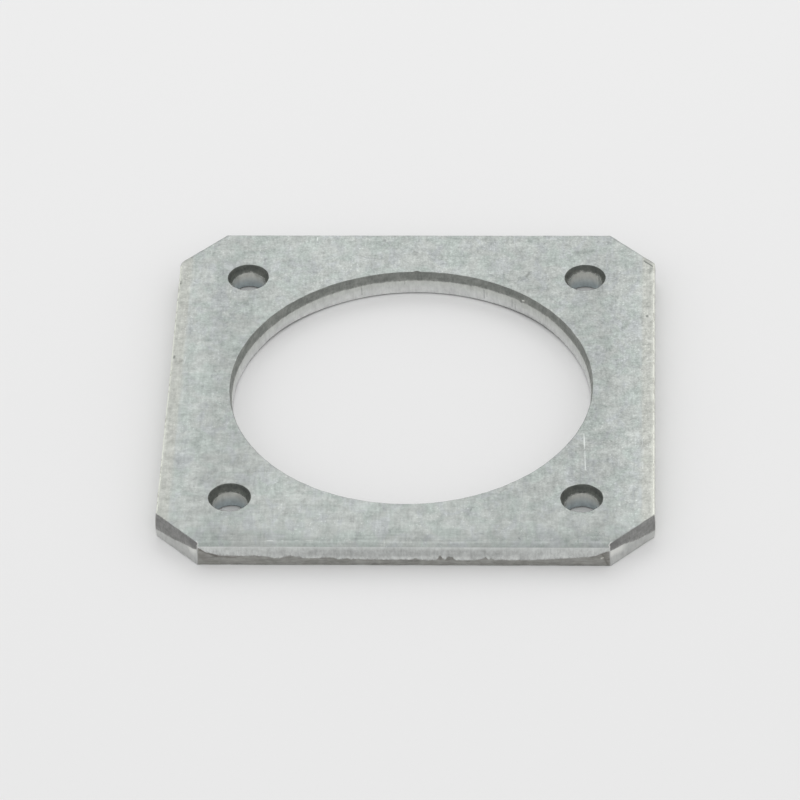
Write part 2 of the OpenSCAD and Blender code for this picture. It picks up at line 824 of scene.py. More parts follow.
@dataclass(frozen=True)
class Grain:
    """A noise of a material, whose largest waves are about size millimetres wide.

    Its waves are squeezed along each axis by a number, and drawn out where that is below 1.
    """

    size: float
    detail: float = 2.0
    roughness: float = 0.5
    distortion: float = 0.0
    squeeze: Triple = (1.0, 1.0, 1.0)


@dataclass(frozen=True)
class Layer:
    """A noise that lightens and darkens a colour, and how far it reaches."""

    grain: Grain
    reach: float


@dataclass(frozen=True)
class Fade:
    """A smooth change between two levels, while a value runs from its start to its end."""

    start: float
    end: float
    at_start: float = 0.0
    at_end: float = 1.0


class Wire:
    """A value that runs between the nodes of a material, and takes part in sums."""

    def __init__(self, bench: "NodeBench", socket: bpy.types.NodeSocket) -> None:
        """Keeps the output that the value comes from."""
        self.bench = bench
        self.socket = socket

    def __add__(self, other: "Wire | float") -> "Wire":
        """Adds another value."""
        return self.bench.calculate("ADD", self, other)

    def __radd__(self, other: float) -> "Wire":
        """Adds the value to a number."""
        return self.bench.calculate("ADD", other, self)

    def __sub__(self, other: "Wire | float") -> "Wire":
        """Takes another value away."""
        return self.bench.calculate("SUBTRACT", self, other)

    def __rsub__(self, other: float) -> "Wire":
        """Takes the value away from a number."""
        return self.bench.calculate("SUBTRACT", other, self)

    def __mul__(self, other: "Wire | float") -> "Wire":
        """Multiplies by another value."""
        return self.bench.calculate("MULTIPLY", self, other)

    def __abs__(self) -> "Wire":
        """Drops the sign."""
        return self.bench.calculate("ABSOLUTE", self)

    def faded(self, fade: Fade) -> "Wire":
        """Turns the value into a level.

        Args:
            fade: The levels at the two ends of a range. Outside it they hold.

        Returns:
            The level.
        """
        inputs = {
            "Value": self,
            "From Min": fade.start,
            "From Max": fade.end,
            "To Min": fade.at_start,
            "To Max": fade.at_end,
        }
        return self.bench.node("MapRange", inputs, interpolation_type="SMOOTHSTEP")

    def near(self, middle: float, half_width: float) -> "Wire":
        """Gives 1 where the value is at its middle, falling to 0 at the half width."""
        full_to = half_width * self.bench.full_share
        return abs(self - middle).faded(Fade(full_to, half_width, 1.0, 0.0))


class NodeBench:
    """Short calls for laying out the nodes of one material."""

    # The share of a band's half width that has its full strength
    full_share = 0.3
    # How ragged the line between the smooth and the torn band is made
    raggedness = Layer(Grain(0.4, 3.0, 0.7), 0.9)
    # A mark's noise and edge, as shares of its half width, and its least reach, squared
    mark_noise = 2.5
    mark_edge = (0.5, 1.5)
    least_reach = 1e-6
    # The sockets of a Mix node that its two colours go to and that their mix comes from
    mix_first = 6
    mix_second = 7
    mix_result = 2

    def __init__(self, name: str) -> None:
        """Starts a material with a Principled shader.

        Args:
            name: The material's name.
        """
        self.material = bpy.data.materials.new(name)
        self.material.use_nodes = True
        self.tree = self.material.node_tree
        self.tree.nodes.clear()
        output = self.tree.nodes.new("ShaderNodeOutputMaterial")
        self.shader = self.tree.nodes.new("ShaderNodeBsdfPrincipled")
        self.tree.links.new(self.shader.outputs[0], output.inputs["Surface"])
        in_metres = self.node("TexCoord", {}, "Object")
        self.place = self.vector("MULTIPLY", in_metres, (1 / MM, 1 / MM, 1 / MM))

    def _put(self, socket: bpy.types.NodeSocket, value: Wire | float | Sequence[float]) -> None:
        """Links a socket to a wire, or sets its number or its numbers.

        Args:
            socket: The input.
            value: What it gets.
        """
        if isinstance(value, Wire):
            self.tree.links.new(value.socket, socket)
        else:
            socket.default_value = value

    def node(
        self,
        kind: str,
        inputs: dict[str | int, Wire | float | Sequence[float]],
        output: str | int = 0,
        **settings: str,
    ) -> Wire:
        """Adds one node.

        Args:
            kind: The node's type, without the prefix that all of them have.
            inputs: What each of its inputs gets.
            output: The output that is used.
            settings: The node's own settings.

        Returns:
            The value of that output.
        """
        made = self.tree.nodes.new(f"ShaderNode{kind}")
        for name, setting in settings.items():
            setattr(made, name, setting)
        for key, value in inputs.items():
            self._put(made.inputs[key], value)
        return Wire(self, made.outputs[output])

    def calculate(self, operation: str, one: Wire | float, other: Wire | float = 0.0) -> Wire:
        """Adds a sum of one or two values."""
        return self.node("Math", {0: one, 1: other}, operation=operation)

    def vector(self, operation: str, one: Wire, other: Wire | Triple) -> Wire:
        """Adds a sum of two vectors."""
        return self.node("VectorMath", {0: one, 1: other}, operation=operation)

    def mix(self, share: Wire, one: Wire | Triple, other: Wire | Triple) -> Wire:
        """Mixes two colours, from the first at a share of 0 to the second at 1."""
        inputs = {0: share, self.mix_first: colour(one), self.mix_second: colour(other)}
        return self.node("Mix", inputs, self.mix_result, data_type="RGBA")

    def shade(self, tone: Wire | Triple, level: Wire) -> Wire:
        """Multiplies a colour or a vector by a level."""
        return self.node("VectorMath", {0: tone, "Scale": level}, operation="SCALE")

    def axis(self, name: str) -> Wire:
        """Gives one coordinate of the surface, in millimetres."""
        return self.node("SeparateXYZ", {0: self.place}, name)

    def noise(self, grain: Grain) -> Wire:
        """Adds a noise that is fixed to the part.

        Args:
            grain: Its size and its character.

        Returns:
            A value that varies round a half.
        """
        place = self.place
        if grain.squeeze != (1.0, 1.0, 1.0):
            place = self.vector("MULTIPLY", place, grain.squeeze)
        inputs = {
            "Vector": place,
            "Scale": 1 / grain.size,
            "Detail": grain.detail,
            "Roughness": grain.roughness,
            "Distortion": grain.distortion,
        }
        return self.node("TexNoise", inputs)

    def waves(self, parts: Sequence[tuple[Wire, float]]) -> Wire:
        """Adds up noises round 1.

        Args:
            parts: Each noise, and how far it reaches.

        Returns:
            A level round 1.
        """
        return sum((part - 0.5) * reach for part, reach in parts) + 1.0

    def layered(self, layers: Sequence[Layer]) -> Wire:
        """Lays noises over each other, as a level round 1."""
        return self.waves([(self.noise(layer.grain), layer.reach) for layer in layers])

    def past_split(self) -> Wire:
        """Gives how far past the smooth band the surface lies, in millimetres.

        Returns:
            The distance that the mesh keeps, made ragged.
        """
        kept = self.node("Attribute", {}, "Fac", attribute_name=BEYOND_SPLIT)
        ragged = self.noise(self.raggedness.grain) - 0.5
        return kept + ragged * self.raggedness.reach

    def marked(self, tone: Wire, marks: Sequence[Mark]) -> Wire:
        """Lays marks over a colour.

        Args:
            tone: The colour under them.
            marks: The marks, each over the ones before it.

        Returns:
            The colour with the marks.
        """
        for mark in marks:
            tone = self.mix(self._mark_mask(mark), tone, mark.tone)
        return tone

    def _mark_mask(self, mark: Mark) -> Wire:
        """Gives where a mark lies.

        Args:
            mark: The mark.

        Returns:
            The mark's strength on it, falling to 0 over a ragged edge.
        """
        reach = Vector(mark.reach)
        away = self.vector("SUBTRACT", self.place, mark.at)
        along = reach / max(reach.length_squared, self.least_reach)
        turn = self.node("VectorMath", {0: away, 1: along}, "Value", operation="DOT_PRODUCT")
        held = self.calculate("MINIMUM", self.calculate("MAXIMUM", turn, -1.0), 1.0)
        aside = self.vector("SUBTRACT", away, self.shade(mark.reach, held))
        distance = self.node("VectorMath", {0: aside}, "Value", operation="LENGTH")
        ragged = self.noise(Grain(mark.half_width * self.mark_noise))
        inner, outer = (mark.half_width * share for share in self.mark_edge)
        edge = Fade(inner, outer, mark.strength, 0.0)
        return (distance + ragged * mark.half_width).faded(edge)

    def bump(self, height: Wire, depth: float) -> None:
        """Raises the surface by a height, of which 1 stands for depth millimetres."""
        raised = self.node("Bump", {"Distance": depth * MM, "Height": height})
        self.set("Normal", raised)

    def set(self, name: str, value: Wire | float | Sequence[float]) -> None:
        """Links or sets one of the shader's sockets."""
        self._put(self.shader.inputs[name], value)


def colour(tone: Wire | Sequence[float]) -> Wire | tuple[float, ...]:
    """Adds the alpha that a colour socket wants."""
    return tone if isinstance(tone, Wire) else (*tone, 1.0)


class Finish(ABC):
    """How one of the plate's surfaces looks."""

    name: str
    metal: float

    def material(self) -> bpy.types.Material:
        """Makes the material.

        Returns:
            The new material.
        """
        bench = NodeBench(self.name)
        bench.set("Metallic", self.metal)
        self._dress(bench)
        return bench.material

    @abstractmethod
    def _dress(self, bench: NodeBench) -> None:
        """Sets the colour, the roughness and, if it has one, the bump."""


@dataclass(frozen=True)
class RolledBand:
    """A long band of zinc that the rolling left lighter or darker, along the strip."""

    at: float
    half_width: float
    reach: float


@dataclass(frozen=True)
class ZincCoat(Finish):
    """Dull zinc on the flat faces, mottled, with fine marks of the rolling."""

    name: str = "zinc_coat"
    metal: float = 0.75
    roughness: Fade = Fade(0.3, 0.7, 0.43, 0.57)
    roughness_patches: Grain = Grain(2.1, 3.0, 0.6)
    bump_depth: float = 0.012

    # The colour, and what turns it green, blue and warm
    tone: Triple = (0.412, 0.434, 0.417)
    green_tone: Triple = (0.394, 0.433, 0.411)
    green_patches: Grain = Grain(4.2, 3.0, 0.6, 0.5)
    green_share: Fade = Fade(0.42, 0.62)
    blue_tone: Triple = (0.403, 0.426, 0.425)
    blue_patches: Grain = Grain(3.1, 3.0, 0.6, 0.8, (1.3, 0.8, 1.0))
    blue_share: Fade = Fade(0.48, 0.66)
    warm_tone: Triple = (0.442, 0.448, 0.414)
    warm_margin: Fade = Fade(34.7, 35.9, 0.0, 0.75)

    # Light and dark: clouds, blotches, rolling lines and fine cross lines
    mottling: tuple[Layer, ...] = (
        Layer(Grain(6.5), 0.1),
        Layer(Grain(1.7, 3.0, 0.6, 0.6), 0.28),
        Layer(Grain(0.36, squeeze=(1.0, 0.14, 1.0)), 0.34),
        Layer(Grain(0.5, squeeze=(0.14, 1.0, 1.0)), 0.22),
    )
    speck: Layer = Layer(Grain(0.7, 2.0, 0.6), 0.46)
    grain: Layer = Layer(Grain(0.3, 2.0, 0.7), 0.85)
    front_left_calm: Fade = Fade(-40.0, 25.0, 0.5, 1.0)
    front_calm: Fade = Fade(-37.0, -24.0, 0.55, 1.0)
    dark_patches: Grain = Grain(1.5, 3.0, 0.7, 1.0)
    dark_level: Fade = Fade(0.58, 0.74, 1.0, 0.82)
    glints: Grain = Grain(0.34, 1.0, squeeze=(1.0, 0.7, 1.0))
    glint_level: Fade = Fade(0.6, 0.74, 0.0, 0.27)
    glint_clusters: Grain = Grain(5.5)
    cluster_share: Fade = Fade(0.45, 0.62)

    # Long bands along the strip, which sway and fade out towards the back
    bands: tuple[RolledBand, ...] = (
        RolledBand(-34.5, 3.0, 0.04),
        RolledBand(-27.2, 5.8, -0.09),
        RolledBand(-12.0, 9.0, 0.03),
        RolledBand(16.5, 8.0, -0.07),
        RolledBand(27.3, 5.8, -0.1),
        RolledBand(35.0, 2.6, 0.05),
    )
    band_sway: Layer = Layer(Grain(9.0, squeeze=(0.3, 1.0, 1.0)), 3.0)
    band_share: Fade = Fade(20.0, 35.0, 1.0, 0.3)

    # The front of the top face, which the shear drew down, by the distance from that end: streaked
    # and darkened, partly dulled zinc and partly painted shade
    half_length: float = LENGTH / 2
    drawn_shade_share: Fade = Fade(0.9, 4.6, 1.0, 0.0)
    drawn_streaks: Grain = Grain(0.5, 3.0, 0.6, squeeze=(0.1, 1.0, 1.0))
    drawn_shade_level: Fade = Fade(0.5, 1.1, 1.2, 1.0)
    streak_reach: float = 0.34
    streak_least: float = 0.69

    # A broken pale line and zinc beads along both mill edges
    line_at: float = 35.2
    line_half_width: float = 0.32
    line_tone: Triple = (0.46, 0.49, 0.49)
    line_breaks: Grain = Grain(1.4, 3.0, 0.6, squeeze=(1.0, 0.3, 1.0))
    line_share: Fade = Fade(0.4, 0.66, 0.0, 0.55)
    bead_tone: Triple = (0.66, 0.68, 0.62)
    bead_margin: Fade = Fade(36.6, 37.3, 0.0, 0.75)
    beads: Grain = Grain(1.1, 3.0, 0.6, squeeze=(1.0, 0.6, 1.0))
    bead_share: Fade = Fade(0.34, 0.6, 0.3, 1.0)
    beads_to_back: Fade = Fade(-8.0, 8.0, 1.0, 0.65)
    beads_to_right: Fade = Fade(-1.0, 1.0, 0.6, 0.95)

    # A painted shade along the rim of the back end and the back notches, whose rims lie this far
    # from the middle
    notch_rim_at: float = 47.66
    rim_shade_level: Fade = Fade(0.05, 0.42, 0.82, 1.0)

    marks: tuple[Mark, ...] = ()

    def _tint(self, bench: NodeBench) -> Wire:
        """Gives the coat's colour before its light and dark.

        Args:
            bench: The material's nodes.

        Returns:
            The colour.
        """
        green = bench.noise(self.green_patches).faded(self.green_share)
        blue = bench.noise(self.blue_patches).faded(self.blue_share)
        warm = abs(bench.axis("X")).faded(self.warm_margin)
        tone = bench.mix(green, self.tone, self.green_tone)
        tone = bench.mix(blue, tone, self.blue_tone)
        return bench.mix(warm, tone, self.warm_tone)

    def _level(self, bench: NodeBench, grain: Wire) -> Wire:
        """Gives the light and dark of the coat.

        Args:
            bench: The material's nodes.
            grain: Its finest noise.

        Returns:
            A level round 1.
        """
        front_calm = bench.axis("Y").faded(self.front_calm)
        front_left_calm = (bench.axis("X") + bench.axis("Y")).faded(self.front_left_calm)
        speck = (bench.noise(self.speck.grain) - 0.5) * front_calm
        grain = (grain - 0.5) * (front_left_calm * front_calm)
        level = bench.layered(self.mottling)
        level = level + speck * self.speck.reach + grain * self.grain.reach
        dark = bench.noise(self.dark_patches).faded(self.dark_level)
        glints = bench.noise(self.glints).faded(self.glint_level)
        clusters = bench.noise(self.glint_clusters).faded(self.cluster_share)
        return level * dark * (glints * clusters + 1.0) * self._banding(bench)

    def _banding(self, bench: NodeBench) -> Wire:
        """Gives the level of the long bands.

        Args:
            bench: The material's nodes.

        Returns:
            A level round 1.
        """
        sway = (bench.noise(self.band_sway.grain) - 0.5) * self.band_sway.reach
        across = bench.axis("X") + sway
        change = sum(across.near(band.at, band.half_width) * band.reach for band in self.bands)
        return change * bench.axis("Y").faded(self.band_share) + 1.0

    def _drawn_and_painted_shade(self, bench: NodeBench, tone: Wire) -> Wire:
        """Streaks and darkens the stretch that the shear drew down: partly dulled zinc, partly
        painted shade.

        Args:
            bench: The material's nodes.
            tone: The coat's colour.

        Returns:
            The colour with that stretch and its painted shade.
        """
        inside = bench.axis("Y") + self.half_length
        streaks = bench.noise(self.drawn_streaks) * self.streak_reach + self.streak_least
        drawn = bench.shade(tone, streaks * inside.faded(self.drawn_shade_level))
        return bench.mix(inside.faded(self.drawn_shade_share), tone, drawn)

    def _margins(self, bench: NodeBench, tone: Wire) -> Wire:
        """Lays the pale line and the beads along both mill edges.

        Args:
            bench: The material's nodes.
            tone: The coat's colour.

        Returns:
            The colour with both.
        """
        from_middle = abs(bench.axis("X"))
        line = from_middle.near(self.line_at, self.line_half_width)
        line = line * bench.noise(self.line_breaks).faded(self.line_share)
        tone = bench.mix(line, tone, self.line_tone)
        beads = from_middle.faded(self.bead_margin)
        beads = beads * bench.noise(self.beads).faded(self.bead_share)
        beads = beads * bench.axis("Y").faded(self.beads_to_back)
        beads = beads * bench.axis("X").faded(self.beads_to_right)
        return bench.mix(beads, tone, self.bead_tone)

    def _back_rim_painted_shade(self, bench: NodeBench, tone: Wire) -> Wire:
        """Paints a shade along the rim of the back end and the back notches.

        Args:
            bench: The material's nodes.
            tone: The coat's colour.

        Returns:
            The colour with the painted shade along the rim.
        """
        outward = (abs(bench.axis("X")) + bench.axis("Y")) * COS_45
        to_notch = self.notch_rim_at - outward
        to_end = self.half_length - bench.axis("Y")
        to_rim = bench.calculate("MINIMUM", to_notch, to_end)
        return bench.shade(tone, to_rim.faded(self.rim_shade_level))

    def _dress(self, bench: NodeBench) -> None:
        """Sets the colour, the roughness and the bump.

        Args:
            bench: The material's nodes.
        """
        grain = bench.noise(self.grain.grain)
        tone = bench.shade(self._tint(bench), self._level(bench, grain))
        tone = self._margins(bench, self._drawn_and_painted_shade(bench, tone))
        tone = self._back_rim_painted_shade(bench, tone)
        bench.set("Base Color", bench.marked(tone, self.marks))
        rough = bench.noise(self.roughness_patches)
        bench.set("Roughness", rough.faded(self.roughness))
        bench.bump(grain + rough, self.bump_depth)


@dataclass(frozen=True)
class MillBead(Finish):
    """Zinc on the mill edges of the strip: matt down the side, in bright beads along both rims,
    which are partly a painted highlight of the rounded rims.
    """

    name: str = "mill_edge_zinc"
    metal: float = 0.35
    roughness: float = 0.42
    bump_depth: float = 0.05
    # The bright tone is partly zinc beads and partly a painted highlight of the rounded rims
    bead_and_highlight_tone: Triple = (0.84, 0.86, 0.78)
    dull_tone: Triple = (0.56, 0.57, 0.51)
    beads: Grain = Grain(0.9, 3.0, 0.65, squeeze=(1.0, 0.7, 1.0))
    bead_and_highlight_share: Fade = Fade(0.36, 0.52)
    side_tone: Triple = (0.485, 0.503, 0.472)
    side_layers: tuple[Layer, ...] = (
        Layer(Grain(1.5, 3.0, 0.6, 0.4, (1.0, 0.3, 1.0)), 0.5),
        Layer(Grain(0.35, squeeze=(1.0, 0.1, 1.0)), 0.3),
        Layer(Grain(0.6, 2.0, 0.6), 0.3),
    )
    half_thickness: float = THICKNESS / 2
    rim_share: Fade = Fade(0.75, 1.5)
    drip_reach: float = 1.2
    upper_share: Fade = Fade(0.4, 2.6, 0.4, 1.0)
    level_to_right: Fade = Fade(-1.0, 1.0, 0.86, 0.97)
    level_to_back: Fade = Fade(-30.0, 5.0, 1.06, 0.98)

    def _dress(self, bench: NodeBench) -> None:
        """Sets the colour, the roughness and the bump.

        Args:
            bench: The material's nodes.
        """
        beads = bench.noise(self.beads)
        beaded = bench.mix(beads.faded(self.bead_and_highlight_share), self.dull_tone, self.bead_and_highlight_tone)
        side = bench.shade(self.side_tone, bench.layered(self.side_layers))
        from_middle = abs(bench.axis("Z") - self.half_thickness)
        at_rim = (from_middle + (beads - 0.5) * self.drip_reach).faded(self.rim_share)
        at_rim = at_rim * bench.axis("Z").faded(self.upper_share)
        level = bench.axis("X").faded(self.level_to_right)
        level = level * bench.axis("Y").faded(self.level_to_back)
        bench.set("Base Color", bench.shade(bench.mix(at_rim, side, beaded), level))
        bench.set("Roughness", self.roughness)
        bench.bump(beads, self.bump_depth)


@dataclass(frozen=True)
class LipCoatPaintedShade(Finish):
    """Zinc that a punch drew in over the lip of its hole, matt, and dark as a painted shade for
    the crevice under the lip.
    """

    name: str = "lip_zinc_painted_shade"
    metal: float = 0.75
    roughness: float = 0.5
    # The dark tone is painted shade, for the crevice under the lip
    tone: Triple = (0.2, 0.207, 0.2)
    wear: Layer = Layer(Grain(0.6, 3.0, 0.6), 0.5)

    def _dress(self, bench: NodeBench) -> None:
        """Sets the colour and the roughness.

        Args:
            bench: The material's nodes.
        """
        bench.set("Base Color", bench.shade(self.tone, bench.layered([self.wear])))
        bench.set("Roughness", self.roughness)


@dataclass(frozen=True)
class SmoothBand(Finish):
    """Bright steel that a tool has rubbed smooth, with fine upright scores, and a tone that runs
    with height as a painted reflection.
    """

    name: str
    # The tone runs with height from low_tone to high_tone: a painted reflection
    high_tone: Triple
    low_tone: Triple
    painted_reflection_share: Fade = Fade(0.5, 2.8)
    metal: float = 1.0
    roughness: Fade = Fade(0.3, 0.7, 0.34, 0.44)
    scores: Layer = Layer(Grain(0.3, 3.0, 0.65, squeeze=(1.0, 1.0, 0.1)), 0.3)
    patches: Layer = Layer(Grain(0.8, 3.0, 0.65, squeeze=(1.0, 1.0, 0.7)), 0.5)
    clouds: Layer = Layer(Grain(3.4), 0.2)
    split_tone: Triple = (0.3, 0.3, 0.29)
    split_share: Fade = Fade(-0.22, 0.05, 0.0, 0.55)
    bump_depth: float = 0.008
    marks: tuple[Mark, ...] = ()

    def _level(self, bench: NodeBench, scores: Wire) -> Wire:
        """Gives the light and dark of the band.

        Args:
            bench: The material's nodes.
            scores: The noise of its scores.

        Returns:
            A level round 1.
        """
        rest = bench.layered((self.patches, self.clouds))
        return rest + (scores - 0.5) * self.scores.reach

    def _dress(self, bench: NodeBench) -> None:
        """Sets the colour, the roughness and the bump.

        Args:
            bench: The material's nodes.
        """
        scores = bench.noise(self.scores.grain)
        # A painted reflection: the tone changes with height
        high = bench.axis("Z").faded(self.painted_reflection_share)
        tone = bench.mix(high, self.low_tone, self.high_tone)
        at_split = bench.past_split().faded(self.split_share)
        tone = bench.mix(at_split, tone, self.split_tone)
        tone = bench.shade(tone, self._level(bench, scores))
        bench.set("Base Color", bench.marked(tone, self.marks))
        bench.set("Roughness", scores.faded(self.roughness))
        bench.bump(scores, self.bump_depth)


@dataclass(frozen=True)
class EndBand(SmoothBand):
    """Smooth band of a cut-off end: a painted shade half-way up stands for the darker reflection
    there, and it is calm under its crease, with a painted highlight just under it.
    """

    scores: Layer = replace(SmoothBand.scores, reach=0.45)
    patches: Layer = replace(SmoothBand.patches, reach=1.0)
    # A painted shade half-way up, strongest in the middle of the end
    shade_at: float = 2.6
    shade_half_width: float = 1.1
    shade_strength: Fade = Fade(8.0, 24.0, 0.22, 0.06)
    unshaded_level: float = 1.04
    crease_calm: Fade = Fade(2.8, 3.7, 1.0, 0.5)
    # A painted highlight just under the crease
    crease_highlight_level: Fade = Fade(3.5, 3.7, 1.0, 1.05)

    def _level(self, bench: NodeBench, scores: Wire) -> Wire:
        """Gives the light and dark of the band, with its painted shade and its painted highlight.

        Args:
            bench: The material's nodes.
            scores: The noise of its scores.

        Returns:
            A level round 1.
        """
        height = bench.axis("Z")
        mid_shade = height.near(self.shade_at, self.shade_half_width)
        mid_shade = mid_shade * abs(bench.axis("X")).faded(self.shade_strength)
        level = super()._level(bench, scores) * (self.unshaded_level - mid_shade)
        level = (level - 1.0) * height.faded(self.crease_calm) + 1.0
        return level * height.faded(self.crease_highlight_level)


@dataclass(frozen=True)
class TornBand(Finish):
    """Grainy steel where the metal tore apart."""

    name: str
    tone: Triple
    second_tone: Triple
    second_share: Fade = Fade(0.4, 0.64)
    metal: float = 0.5
    roughness: float = 0.6
    grain: Layer = Layer(Grain(0.32, 3.0, 0.7, squeeze=(1.0, 1.0, 0.5)), 0.9)
    tears: Layer = Layer(Grain(0.42, 3.0, squeeze=(0.16, 0.16, 1.5)), 0.5)
    patches: Layer = Layer(Grain(1.7, 3.0, 0.6, 0.5), 0.3)
    rubbed_tone: Triple = (0.42, 0.42, 0.4)
    rubbed_share: Fade = Fade(-0.05, 0.25, 0.5, 0.0)
    # A level by height, used as a painted shade
    painted_height_shade: Fade = Fade(0.0, THICKNESS, 1.0, 1.0)
    bump_depth: float = 0.03
    marks: tuple[Mark, ...] = ()

    def _dress(self, bench: NodeBench) -> None:
        """Sets the colour, the roughness and the bump.

        Args:
            bench: The material's nodes.
        """
        grain = bench.noise(self.grain.grain)
        tears = bench.noise(self.tears.grain)
        patches = bench.noise(self.patches.grain)
        tone = bench.mix(patches.faded(self.second_share), self.tone, self.second_tone)
        rubbed = bench.past_split().faded(self.rubbed_share)
        tone = bench.mix(rubbed, tone, self.rubbed_tone)
        layers = zip((grain, tears, patches), (self.grain, self.tears, self.patches))
        level = bench.waves([(part, layer.reach) for part, layer in layers])
        level = level * bench.axis("Z").faded(self.painted_height_shade)
        bench.set("Base Color", bench.marked(bench.shade(tone, level), self.marks))
        bench.set("Roughness", self.roughness)
        bench.bump(grain + tears, self.bump_depth)


def top_mark(
    x: float,
    y: float,
    along: tuple[float, float],
    half_width: float,
    tone: Triple,
    strength: float,
) -> Mark:
    """Gives a mark on the top face."""
    return Mark((x, y, THICKNESS), (*along, 0.0), half_width, tone, strength)


def tick(turn_deg: float, low: float, high: float, half_width: float, strength: float) -> Mark:
    """Gives a dark upright tick on the smooth wall of the centre hole.

    Args:
        turn_deg: Its angle round the hole.
        low: Height of its lower end.
        high: Height of its upper end.
        half_width: Half its width.
        strength: How strongly it shows.

    Returns:
        The mark.
    """
    turn = math.radians(turn_deg)
    middle, reach = (low + high) / 2, (high - low) / 2
    radius = BORE_DIAMETER / 2
    at = (radius * math.cos(turn), radius * math.sin(turn), middle)
    return Mark(at, (0.0, 0.0, reach), half_width, DARK, strength)


@dataclass(frozen=True)
class FixingHole:
    """What sets one fixing hole apart: its corner, and the line between its bands."""

    x_side: int
    y_side: int
    split_height: float
    unevenness: float


